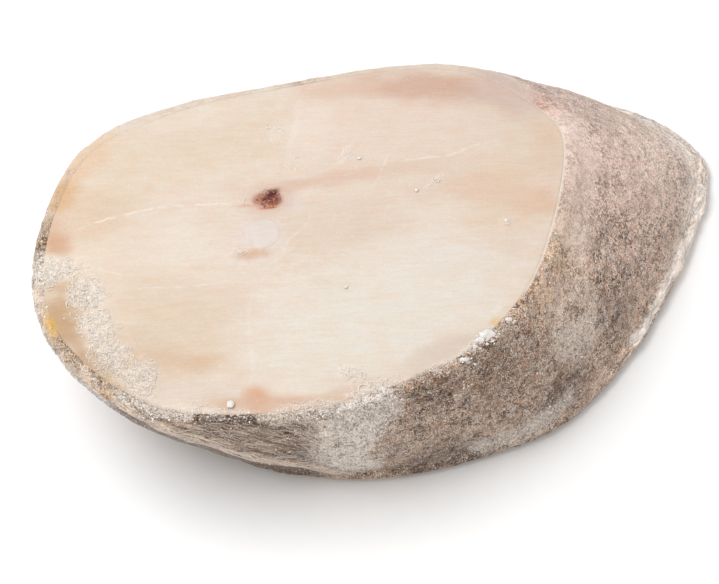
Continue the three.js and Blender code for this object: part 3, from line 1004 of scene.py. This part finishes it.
def skin_frost(points):
    """How thick frost lies on the skin, from 0 to 1, with a little everywhere."""
    frost = np.full(len(points), 0.05)
    for index, (line, reach, strength) in enumerate(SKIN_FROST):
        d = near_line(points, line) / reach + 0.5 * fractal(points, 4.0, 3, 60 + index)
        frost = np.maximum(frost, strength * (1 - smoothstep(d, 0.3, 1.2)))
    return frost


def fleshiness(points):
    """1 where the flesh shows instead of skin."""
    return np.max([
        strength * ball(points, centre, reach, 0.3, 80 + index) * smoothstep(points[:, 2], low, low + 2)
        for index, (centre, reach, strength, low) in enumerate(FLESHY)
    ], axis=0)


def above_rim(points):
    """Height above the whitish rim, at each point's place along the front."""
    rim_line = np.array(FROSTY_RIM)
    return points[:, 2] - np.interp(points[:, 0], rim_line[:, 0], rim_line[:, 2])


def wall_froth(points):
    """1 where froth covers the wall's upper edge."""
    froth_here = np.zeros(len(points))
    for index, (line, reach) in enumerate(WALL_FROTH):
        rough = near_line(points, line) / reach + 0.6 * fractal(points, 1.8, 3, 90 + index)
        froth_here = np.maximum(froth_here, 1 - smoothstep(rough, 0.5, 1.2))
    return froth_here


def wall_share(points):
    """1 on the dark wall between the face's front left edge and the rim."""
    x, y = points[:, 0], points[:, 1]
    across = smoothstep(x, -46, -40) * (1 - smoothstep(x, -15, -8))
    return across * smoothstep(-y, 35, 38.5) * smoothstep(above_rim(points), 0.6, 1.8)


def rim_share(points):
    """1 on the whitish layered rim below that wall."""
    rough = near_line(points, FROSTY_RIM) + 0.8 * fractal(points, (6, 6, 1.5), 3, 33)
    return 1 - smoothstep(rough, 0.6, 2.0)


def hollow_share(points):
    """1 on the flank under the rim, which draws in below it; there the skin's colour is darkened as painted
    shadow.
    """
    x, y = points[:, 0], points[:, 1]
    return smoothstep(-above_rim(points), 0.8, 2.2) * smoothstep(-x, 8, 14) * smoothstep(-y, 26, 34)


def ridge_share(points):
    """1 on the bluish white ridge low on the right."""
    rough = near_line(points, ICY_RIDGE) + 0.7 * fractal(points, (6, 6, 1.5), 3, 21)
    return 1 - smoothstep(rough, 0.7, 1.5)


def skin_relief(points, height, frost):
    """How far each point of the outer skin stands out."""
    low = np.exp(-(((height - 2.4) / 2.2) ** 2))
    relief = 0.22 * fractal(points, 5.0, 3, 2)
    relief += 0.12 * fractal(points, 1.3, 2, 7)
    relief += frost * 0.35 * (grainy(points, 1.2, 11) - 0.35)
    relief += low * (0.25 * fractal(points, (9, 9, 0.8), 3, 4) + 0.2 * grainy(points, 1.4, 6))
    relief += rim_share(points) * (0.35 + 0.35 * fractal(points, (6, 6, 1.2), 3, 5))
    relief += ridge_share(points) * (0.4 + 0.45 * fractal(points, (3, 3, 1.2), 3, 9))
    return relief + wall_share(points) * (0.45 * fractal(points, (14, 14, 1.2), 3, 8) - 0.45)


def skin_heights():
    """The flank's rows as shares of its height, closer together near its two ends."""
    s = np.linspace(0, 1, SKIN_ROWS)
    eased = s + (smoothstep(s, 0, 1) - s) * 0.6
    return SKIN_LIFT / THICKNESS + eased * (1 - SKIN_LIFT / THICKNESS)


def skin_lip(u, edge):
    """Rows of points over the skin's cut edge, then down its inside."""
    width = skin_width(edge)
    rows = []
    for across, up in LIP:
        row = to_frame(flank_row(u, 1.0, width * across))
        row[:, 2] = edge[:, 2] + up - 0.12 * bareness(edge) + 0.02 * fractal(row, 1.5, 2, 3)
        rows.append(row)
    for t in (0.9, 0.6, 0.3, SKIN_LIFT / THICKNESS):
        rows.append(to_frame(flank_row(u, t, width * LIP[-1][0])))
    return np.array(rows)


def skin_piece():
    """The skin as a closed band. Returns the flank's points, their normals and their frost."""
    u = np.arange(SKIN_AROUND) / SKIN_AROUND
    shares = skin_heights()
    outer = to_frame(np.array([flank_row(u, t, 0.0) for t in shares]))
    normal = normals_of(outer)
    flat = outer.reshape(-1, 3)
    share = np.repeat(shares, SKIN_AROUND)
    frost = skin_frost(flat)
    relief = skin_relief(flat, share * THICKNESS, frost)
    relief *= smoothstep(1 - share, 0.0, 0.03) * smoothstep(share * THICKNESS, 0.3, 1.2)
    grid = outer + normal * relief.reshape(len(shares), SKIN_AROUND, 1)
    rows = np.concatenate([grid, skin_lip(u, outer[-1])])
    points = rows.reshape(-1, 3)
    faces = grid_faces(len(rows), SKIN_AROUND, closed=True)
    piece = make_mesh("skin_band", points, faces, skin_material())
    steps = np.linalg.norm(np.diff(outer[len(outer) // 2], axis=0), axis=1)
    along = np.tile(np.concatenate([[0], np.cumsum(steps)]), len(rows))
    row = np.repeat(np.arange(len(rows)), SKIN_AROUND) - len(shares)
    paint_skin(piece, points, row, along)
    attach(piece, "root")
    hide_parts("skin")
    return grid, normal, frost.reshape(len(shares), SKIN_AROUND)


def paint_skin(piece, points, row, along):
    """row counts from the flank's top edge: negative on the flank, positive over the cut edge.
    along is the distance round the slice, which the layers of ice follow."""
    here = skin_shares(points, row)
    lay = np.column_stack([along, above_rim(points), np.zeros(len(points))]) * MM
    paint(piece, "tint", with_alpha(skin_tints(points, here)))
    paint(piece, "frost", whiteness(points, here))
    paint(piece, "specked", darkness(points, here))
    paint(piece, "layered", layering(here))
    paint(piece, "lay", lay)


def skin_shares(points, row):
    """How much of each kind of place there is at each point of the skin, from 0 to 1."""
    x, y, z = points.T
    here = SimpleNamespace()
    here.froth = wall_froth(points)
    here.wall = wall_share(points) * (1 - 0.9 * here.froth)
    here.rim = rim_share(points) * (0.15 + 0.85 * smoothstep(x, -50, -42))
    here.ridge = ridge_share(points)
    here.hollow = hollow_share(points)
    # the low right side, which is painted lighter as painted light
    here.far = (1 - smoothstep(z, 3, 8)) * smoothstep(x, 40, 50) * smoothstep(y, -2, 8)
    here.low = np.exp(-(((z - 2.8) / 2.0) ** 2)) * smoothstep(x, 20, 50)
    here.foot = (1 - smoothstep(z, 0.6, 1.8)) * smoothstep(x, 20, 40)
    here.top = smoothstep(row, -5, -1)
    lower_right = smoothstep(x, -6, 0) * (1 - smoothstep(y, -22, -16))
    skinny = np.maximum(here.wall, lower_right)
    cut = smoothstep(row, 1.0, 2.5) * (1 - skinny)
    here.fleshy = np.maximum(fleshiness(points), cut) * (1 - skinny)
    lip = np.exp(-(((row - 2.5) / 1.1) ** 2)) * smoothstep(x, 25, 29) * (1 - smoothstep(-y, 8, 14))
    here.lip = lip * smoothstep(fractal(points, 2.0, 2, 31), -0.5, 0.1) * (1 - smoothstep(y, 19, 24))
    glassy = np.max([ball(points, centre, reach, 0.3, 7 * reach) for centre, reach in GLASSY], axis=0)
    here.glassy = glassy * (1 - here.fleshy)
    return here


def skin_tints(points, here):
    """The skin's own colours, from the plain tints to what lies over them."""
    colours = skin_colours(points)
    wall = smoothstep(fractal(points, (9, 9, 2.0), 3, 44) + here.top, -0.9, -0.1)
    streaks = smoothstep(fractal(points, (9, 9, 0.7), 3, 14), -0.5, 0.1)
    layers = smoothstep(fractal(points, (7, 7, 0.7), 3, 4), -0.3, 0.3)
    blend(colours, WALL_BROWN, 0.95 * here.wall * wall)
    colours += (face_colours(points) - colours) * here.fleshy[:, None]
    colours += (linear(LIP_PALE) / FACE_LIGHT - colours) * (0.9 * here.lip)[:, None]
    blend(colours, GLASSY_LILAC, 0.5 * here.glassy)
    # painted shadow on the flank under the rim
    blend(colours, UNDER_RIM_SHADOW_PAINT, 0.9 * here.hollow)
    blend(colours, RIM_WHITE, here.rim * streaks * 0.9)
    blend(colours, FROTH_BEIGE, 0.8 * here.froth * (1 - here.fleshy))
    # painted light on the low right side, which faces away from the lamp
    blend(colours, FAR_PAINTED_LIGHT, 0.8 * here.far)
    blend(colours, LOW_GREY, 0.5 * here.low * layers)
    blend(colours, RIDGE_WHITE, 0.95 * here.ridge)
    blend(colours, FOOT_BROWN, 0.85 * here.foot * (1 - smoothstep(points[:, 1], -6, 2)))
    return colours


def whiteness(points, here):
    """How thick frost lies on the skin and on the flesh that shows."""
    white = np.max([frost_of_skin(points), here.low * 0.35, here.rim * 0.5], axis=0) * (1 - here.fleshy)
    white = np.maximum(white, face_frost(points) * here.fleshy)
    return np.max([white, 0.9 * here.ridge, 0.45 * here.far, 0.6 * here.froth], axis=0)


def darkness(points, here):
    """How thick the dark marks lie: each kind of place takes its own share of them away."""
    lilac = ball(points, (44, 24, 20), 22)
    soft = ball(points, (31, -12, 28), 11, 0.3, 2.0)
    taken = (
        (lilac, 0.38), (soft, 0.3), (here.ridge, 0.6), (here.rim, 0.2), (here.fleshy, 1.0),
        (here.glassy, 0.6), (here.wall, 0.35), (here.hollow, 0.6), (here.far, 0.5),
    )
    marks = np.ones(len(points))
    for place, share in taken:
        marks = marks * (1 - share * place)
    return marks


def layering(here):
    """How much the skin's ice lies in thin layers."""
    layered = np.max([here.rim, here.wall * 0.7, here.ridge * 0.35, here.low * 0.4], axis=0)
    return layered * (1 - here.fleshy) * (1 - here.top)


def frost_of_skin(points):
    """The skin's frost, with little on the dark wall."""
    return skin_frost(points) * (1 - 0.8 * wall_share(points))


# ---------------------------------------------------------------- bone and blood canal

BONE_CORE = (235, 224, 216)


def height_under(points, face):
    """Height of the flesh's face under each point, from the four nearest of its vertices."""
    middle = points[:, :2].mean(0)
    near = face[np.linalg.norm(face[:, :2] - middle, axis=1) < 6]
    gaps = np.linalg.norm(points[:, None, :2] - near[None, :, :2], axis=2)
    closest = np.argsort(gaps, axis=1)[:, :4]
    weights = 1 / (np.take_along_axis(gaps, closest, 1) + 0.05) ** 2
    return (near[closest, 2] * weights).sum(1) / weights.sum(1)


def rod_piece(name, material, spot, top_relief, colour_at, replaced, face):
    """A rod along the fish from face to face, its top finely shaped and sunk in the flesh at its rim."""
    around, rings, side_rows = 96, 26, 6
    a = angles(around)
    centre = np.array([spot["x"], spot["y"]])
    rows = []
    for z in np.linspace(0.3, THICKNESS - 1.5, side_rows):
        middle = centre + ALONG_FISH * (1 - z / THICKNESS)
        x = middle[0] + spot["rx"] * np.cos(a)
        y = middle[1] + spot["ry"] * np.sin(a)
        rows.append(np.column_stack([x, y, np.full(around, z)]))
    shares = np.linspace(1, 0.03, rings)
    for r in shares:
        x = centre[0] + spot["rx"] * r * np.cos(a)
        y = centre[1] + spot["ry"] * r * np.sin(a)
        rows.append(np.column_stack([x, y, np.zeros(around)]))
    grid = to_frame(np.array(rows))
    top = grid[side_rows:].reshape(-1, 3)
    share = np.repeat(shares, around)
    top[:, 2] = height_under(top, face) - 0.10 * smoothstep(share, 0.86, 1.0) + top_relief(top, share)
    grid[side_rows:] = top.reshape(rings, around, 3)
    points = np.concatenate([grid.reshape(-1, 3), [grid[0].mean(0), grid[-1].mean(0)]])
    piece = make_mesh(name, points, closed_faces(len(rows), around), material)
    paint(piece, "tint", with_alpha(colour_at(points)))
    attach(piece, "root")
    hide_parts(replaced)
    return piece


def bone_piece(face):
    def relief(top, share):
        return 0.04 + 0.03 * fractal(top, 1.5, 2, 3)

    def colour_at(points):
        colours = face_colours(points)
        d = np.linalg.norm((points[:, :2] - BONE_PLACE) / [BONE["rx"], BONE["ry"]], axis=1)
        core = linear(BONE_CORE) / FACE_LIGHT
        return colours + (core - colours) * (0.6 * (1 - smoothstep(d, 0.0, 0.9)))[:, None]

    rod_piece("vertebra", bone_material(), BONE, relief, colour_at, "backbone", face)


def blood_piece(face):
    def relief(top, share):
        return 0.04 + (1 - share) * 0.22 * fractal(top, 0.9, 3, 5)

    piece = rod_piece("canal_blood", blood_material(), CANAL, relief, face_colours, "blood_canal", face)


# ---------------------------------------------------------------- frost and ice

OCTAHEDRON = np.array([[1, 0, 0], [-1, 0, 0], [0, 1, 0], [0, -1, 0], [0, 0, 1], [0, 0, -1]], float)
OCTAHEDRON_FACES = np.array([
    [0, 2, 4], [2, 1, 4], [1, 3, 4], [3, 0, 4], [2, 0, 5], [1, 2, 5], [3, 1, 5], [0, 3, 5],
])
ICE_WHITE = np.array([0.97, 0.91, 0.85])
CRYSTAL_WHITE = (0.78, 0.74, 0.69)
LUMP_WHITE = (0.68, 0.655, 0.63)
FACE_CURLS = 1100
FACE_CRUMBS = 1900
SKIN_GRAINS = 6500
SKIN_FIBRES = 420
FIBRES_BELOW = 30.0  # no threads higher than this


def whitened(colours, share):
    return colours + (ICE_WHITE - colours) * share


def pick(rng, weights, count):
    """Which points carry count things, drawn by the points' weights."""
    return rng.choice(len(weights), count, p=weights / weights.sum())


def random_turns(rng, count):
    """Random rotations as 3 by 3 matrices, from unit quaternions."""
    q = rng.normal(size=(count, 4))
    q /= np.linalg.norm(q, axis=1, keepdims=True)
    w, x, y, z = q.T
    return np.stack([
        np.stack([1 - 2 * (y * y + z * z), 2 * (x * y - w * z), 2 * (x * z + w * y)], -1),
        np.stack([2 * (x * y + w * z), 1 - 2 * (x * x + z * z), 2 * (y * z - w * x)], -1),
        np.stack([2 * (x * z - w * y), 2 * (y * z + w * x), 1 - 2 * (x * x + y * y)], -1),
    ], 1)


def ice_piece(name, shapes, faces, tints, material, smooth=True):
    """Joins shapes, (number, points of each, 3), that share the same faces, in one mesh."""
    number, points_each = shapes.shape[:2]
    points = shapes.reshape(-1, 3)
    points[:, 2] = np.maximum(points[:, 2], 0.05)
    all_faces = faces[None] + points_each * np.arange(number)[:, None, None]
    piece = make_mesh(name, points, all_faces.reshape(-1, faces.shape[1]), material, smooth)
    paint(piece, "tint", with_alpha(np.repeat(tints, points_each, axis=0)))
    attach(piece, "root")


def grain_shapes(spots, sizes, rng):
    """A small uneven crystal at each spot."""
    count = len(spots)
    shape = OCTAHEDRON[None] * rng.uniform(0.55, 1.25, (count, 6, 1)) * rng.uniform(0.6, 1.3, (count, 1, 3))
    turned = np.einsum("nij,nvj->nvi", random_turns(rng, count), shape)
    return spots[:, None] + turned * sizes[:, None, None]


def tube_faces(stations, sides):
    """Quads of a tube of rings of points, and its two square ends where it has four sides."""
    j = np.arange(stations - 1)[:, None] * sides
    i = np.arange(sides)[None, :]
    n = (i + 1) % sides
    quads = np.stack([j + i, j + n, j + sides + n, j + sides + i], -1).reshape(-1, 4)
    last = (stations - 1) * sides
    return np.concatenate([quads, [[3, 2, 1, 0]], [[last, last + 1, last + 2, last + 3]]])


def tube_shapes(paths, radii):
    """Tubes with four sides round paths, (number, stations, 3), tapered to their ends."""
    along = np.gradient(paths, axis=1)
    along /= np.linalg.norm(along, axis=2, keepdims=True)
    aside = np.cross(along, [0.12, 0.07, 0.99])
    aside /= np.linalg.norm(aside, axis=2, keepdims=True)
    over = np.cross(along, aside)
    stations = paths.shape[1]
    taper = 1 - 0.6 * np.abs(np.linspace(-1, 1, stations)) ** 3
    width = radii[:, None, None] * taper[None, :, None]
    rings = [paths + width * (aside * math.cos(b) + over * math.sin(b)) for b in angles(4)]
    return np.stack(rings, 2).reshape(len(paths), stations * 4, 3)


def curls(spots, rng, low, high, tilt):
    """Arcs of ice that lie nearly flat round their spots."""
    count, stations = len(spots), 9
    start = rng.uniform(0, 2 * np.pi, (count, 1))
    sweep = rng.uniform(1.8, 5.4, (count, 1))
    a = start + sweep * np.linspace(0, 1, stations)[None]
    radius = rng.uniform(low, high, (count, 1))
    stretch = rng.uniform(0.6, 1.2, (count, 1))
    lean = rng.normal(0, tilt, (count, 2))
    x = radius * np.cos(a)
    y = radius * np.sin(a) * stretch
    return spots[:, None] + np.stack([x, y, x * lean[:, :1] + y * lean[:, 1:]], -1)


def face_frost_pieces(face, frost, ice):
    """Curls and crumbs of frost where it lies thick on the face."""
    rng = np.random.default_rng(11)
    spacing = np.linalg.norm(face[:, :2] - face[:, :2].mean(0), axis=1)
    weights = frost**1.3 * spacing * (0.3 + grainy(face, 1.6, 8))
    chosen = pick(rng, weights, FACE_CURLS)
    spots = face[chosen] + rng.normal(0, 0.25, (len(chosen), 3)) * [1, 1, 0.1] + [0, 0, 0.05]
    paths = curls(spots, rng, 0.25, 0.75, 0.2)
    shapes = tube_shapes(paths, rng.uniform(0.035, 0.065, len(chosen)))
    tints = whitened(face_colours(face[chosen]), 0.9)
    ice_piece("frost_curls", shapes, tube_faces(paths.shape[1], 4), tints, ice)
    chosen = pick(rng, weights, FACE_CRUMBS)
    sizes = rng.uniform(0.05, 0.14, len(chosen)) * (1 + 0.9 * (rng.random(len(chosen)) < 0.06))
    spots = face[chosen] + rng.normal(0, 0.25, (len(chosen), 3)) * [1, 1, 0.1]
    tints = whitened(face_colours(face[chosen]), 0.85)
    ice_piece("frost_on_face", grain_shapes(spots, sizes, rng), OCTAHEDRON_FACES, tints, ice, False)


def skin_frost_piece(grid, normal, frost, ice):
    """Grains of frost on the skin, thickest where the frost is and in clusters elsewhere."""
    rng = np.random.default_rng(23)
    points, normals = grid.reshape(-1, 3), normal.reshape(-1, 3)
    clustered = smoothstep(fractal(points, 3.0, 2, 71), 0.0, 0.4)
    weights = frost.ravel() ** 1.5 + ridge_share(points) + 0.3 * clustered + 0.4 * wall_share(points)
    weights *= smoothstep(points[:, 2], 0.6, 2.0)
    chosen = pick(rng, weights, SKIN_GRAINS)
    sizes = rng.uniform(0.04, 0.13, len(chosen)) * (1 + 0.8 * (rng.random(len(chosen)) < 0.1))
    spots = points[chosen] + rng.normal(0, 0.12, (len(chosen), 3)) + normals[chosen] * sizes[:, None] * 0.3
    tints = whitened(skin_colours(spots), 0.85)
    ice_piece("frost_on_skin", grain_shapes(spots, sizes, rng), OCTAHEDRON_FACES, tints, ice, False)


def fibres_piece(grid, normal, ice):
    """Hair-like threads along the whitish rim and the wall above it."""
    rng = np.random.default_rng(53)
    points = grid.reshape(-1, 3)
    weights = rim_share(points) + 0.12 * wall_share(points) + 0.4 * ridge_share(points)
    weights[points[:, 2] > FIBRES_BELOW] = 0
    chosen = pick(rng, weights, SKIN_FIBRES)
    row, column = chosen // grid.shape[1], chosen % grid.shape[1]
    stations = 8
    steps = np.arange(stations)[None] * rng.uniform(0.4, 1.2, (len(chosen), 1))
    falls = np.where(points[chosen, 0] < 0, -0.4, 0.0) + rng.normal(0, 0.5, len(chosen))
    rows = np.clip((row[:, None] + falls[:, None] * steps).round().astype(int), 1, grid.shape[0] - 2)
    columns = (column[:, None] + steps.round().astype(int)) % grid.shape[1]
    paths = grid[rows, columns] + normal[rows, columns] * rng.uniform(0.02, 0.12, (len(chosen), 1, 1))
    for _ in range(2):
        paths[:, 1:-1] = (paths[:, :-2] + paths[:, 1:-1] + paths[:, 2:]) / 3
    paths += np.cumsum(rng.normal(0, 0.03, paths.shape), axis=1)
    shapes = tube_shapes(paths, rng.uniform(0.025, 0.055, len(chosen)))
    tints = whitened(skin_colours(points[chosen]), 0.6)
    ice_piece("rim_fibres", shapes, tube_faces(stations, 4), tints, ice)


CLUMPS = [  # crystals along the edges: centre, reach, number, largest size
    ((22.1, -22.9, 30.9), (1.0, 0.8, 0.2), 30, 0.34),
    ((18.0, -26.4, 31.0), (1.8, 1.4, 0.2), 60, 0.40),
    ((13.8, -31.0, 30.9), (1.8, 1.0, 0.2), 50, 0.30),
    ((8.0, -33.4, 31.0), (3.0, 0.7, 0.2), 50, 0.22),
    ((-0.6, -37.4, 31.0), (2.6, 1.4, 0.2), 90, 0.30),
    ((-6.0, -34.0, 31.4), (2.0, 1.0, 0.1), 40, 0.2),
    ((-43.0, -38.6, 30.2), (3.4, 2.0, 0.4), 110, 0.28),
    ((-38.0, -41.8, 30.0), (4.0, 0.9, 0.3), 170, 0.26),
    ((-26.0, -42.6, 30.4), (7.0, 0.5, 0.5), 200, 0.26),
    ((-14.5, -42.0, 30.8), (4.5, 0.8, 0.3), 200, 0.26),
]
LUMPS = [  # single lumps of ice: centre, sizes along x, y and z
    ((18.4, -26.0, 31.0), (1.5, 0.9, 0.5)),
    ((17.0, -27.2, 31.0), (0.9, 0.7, 0.4)),
    ((22.1, -22.9, 30.9), (0.6, 0.5, 0.3)),
    ((16.0, -28.5, 31.0), (0.5, 0.4, 0.3)),
    ((13.8, -31.1, 30.8), (1.1, 0.5, 0.35)),
    ((-0.7, -37.2, 30.9), (1.0, 0.6, 0.4)),
    ((-9.5, -41.4, 29.4), (1.2, 0.7, 0.5)),
    ((-27.5, -40.3, 31.15), (0.75, 0.75, 0.30)),
    ((5.8, 4.2, 31.7), (0.35, 0.35, 0.15)),
    ((-4.8, 11.2, 31.7), (0.4, 0.3, 0.15)),
    ((22.3, -2.1, 31.2), (0.4, 0.4, 0.2)),
    ((-7.2, -16.5, 31.6), (0.3, 0.3, 0.15)),
]


def crystals_piece(ice):
    """Larger crystals in listed clumps along the front of the upper edge."""
    rng = np.random.default_rng(37)
    spots, sizes = [], []
    for centre, reach, count, largest in CLUMPS:
        spots.append(np.array(centre) + np.clip(rng.normal(0, 0.6, (count, 3)), -1.4, 1.4) * reach)
        sizes.append(largest * rng.uniform(0.3, 1.0, count) ** 1.6)
    spots, sizes = np.concatenate(spots), np.concatenate(sizes)
    tints = np.tile(CRYSTAL_WHITE, (len(spots), 1))
    ice_piece("ice_crystals", grain_shapes(spots, sizes, rng), OCTAHEDRON_FACES, tints, ice, False)


def lumps_piece(ice):
    """Rounded uneven lumps, each a bent sphere of rings between two poles."""
    around, rings = 20, 11
    a = angles(around)
    b = np.linspace(-np.pi / 2 + 0.12, np.pi / 2 - 0.12, rings)[:, None]
    sphere = np.stack([np.cos(b) * np.cos(a), np.cos(b) * np.sin(a), np.sin(b) * np.ones(around)], -1)
    sphere = np.concatenate([sphere.reshape(-1, 3), [[0, 0, -1], [0, 0, 1]]])
    shapes = []
    for index, (centre, sizes) in enumerate(LUMPS):
        swell = 1 + 0.5 * fractal(sphere, 0.9, 3, 5.0 * index)
        shapes.append(np.array(centre) + sphere * swell[:, None] * sizes)
    tints = np.tile(LUMP_WHITE, (len(LUMPS), 1))
    ice_piece("ice_lumps", np.array(shapes), closed_faces(rings, around), tints, ice)


# ---------------------------------------------------------------- stage

CAMERA_HEIGHT_ANGLE = 60.0  # degrees above the level
CAMERA_DISTANCE = 510.0
CAMERA_AIM = (0.0, 0.0, 14.0)  # in the drawing's coordinates
PIXELS_PER_MM = 5.3  # at the point that the camera looks at
PHOTO_WIDTH = 719  # pixels
SENSOR = 36.0
FLOOR_SIZE = 6.0  # metres, as is what follows
FLOOR_GAP = 0.00002
KEY_PLACE = (-0.36, 0.05, 0.74)
KEY_SIZE = (0.6, 0.5)
KEY_POWER = 5.3
KEY_COLOUR = (0.915, 0.958, 1.0)
SKY_COLOUR = (1.0, 0.965, 0.93, 1.0)
SKY_STRENGTH = 0.80


def add_camera():
    camera = bpy.data.cameras.new("camera")
    camera.sensor_fit = "HORIZONTAL"
    camera.sensor_width = SENSOR
    camera.lens = PIXELS_PER_MM * CAMERA_DISTANCE / PHOTO_WIDTH * SENSOR
    camera.clip_start, camera.clip_end = 0.01, 20.0
    holder = new_object("camera", camera)
    a = math.radians(CAMERA_HEIGHT_ANGLE)
    aim = Vector((CAMERA_AIM[0] + SHIFT[0], CAMERA_AIM[1] + SHIFT[1], CAMERA_AIM[2]))
    back = Vector((0, -math.cos(a), math.sin(a)))
    holder.location = (aim + back * CAMERA_DISTANCE) * MM
    holder.rotation_euler = (math.pi / 2 - a, 0, 0)
    bpy.context.scene.camera = holder


def add_key_light():
    """A large soft lamp above the left side, aimed at the middle."""
    lamp = bpy.data.lights.new("key", "AREA")
    lamp.shape = "RECTANGLE"
    lamp.size, lamp.size_y = KEY_SIZE
    lamp.energy = KEY_POWER
    lamp.color = KEY_COLOUR
    holder = new_object("key", lamp)
    holder.location = KEY_PLACE
    holder.rotation_euler = (-Vector(KEY_PLACE)).to_track_quat("-Z", "Y").to_euler()


def add_stage():
    """The pale floor, the soft light from all round and the lamp."""
    bpy.ops.mesh.primitive_plane_add(size=FLOOR_SIZE, location=(0, 0, -FLOOR_GAP))
    floor = bpy.context.object
    floor.name = "floor"
    s = Shader("floor")
    grain = s.noise(4.0, 2)
    colour = s.mix(grain, (0.85, 0.85, 0.85, 1), (0.87, 0.87, 0.87, 1))
    floor.data.materials.append(s.finish(Base_Color=colour, Roughness=0.9, Specular_IOR_Level=0.1))
    world = bpy.data.worlds.new("world")
    world.use_nodes = True
    sky = world.node_tree.nodes["Background"]
    sky.inputs[0].default_value = SKY_COLOUR
    sky.inputs[1].default_value = SKY_STRENGTH
    bpy.context.scene.world = world
    add_key_light()
    bpy.context.scene.view_settings.view_transform = "Standard"


# ---------------------------------------------------------------- the scene

add_camera()
face_points, frost_on_face = flesh_piece()
skin_grid, skin_normal, frost_on_skin = skin_piece()
bone_piece(face_points)
blood_piece(face_points)
frost = ice_material("frost", 0.35)
face_frost_pieces(face_points, frost_on_face, frost)
skin_frost_piece(skin_grid, skin_normal, frost_on_skin, frost)
fibres_piece(skin_grid, skin_normal, frost)
ice = ice_material("ice", 0.12)
crystals_piece(ice)
lumps_piece(ice)
add_stage()
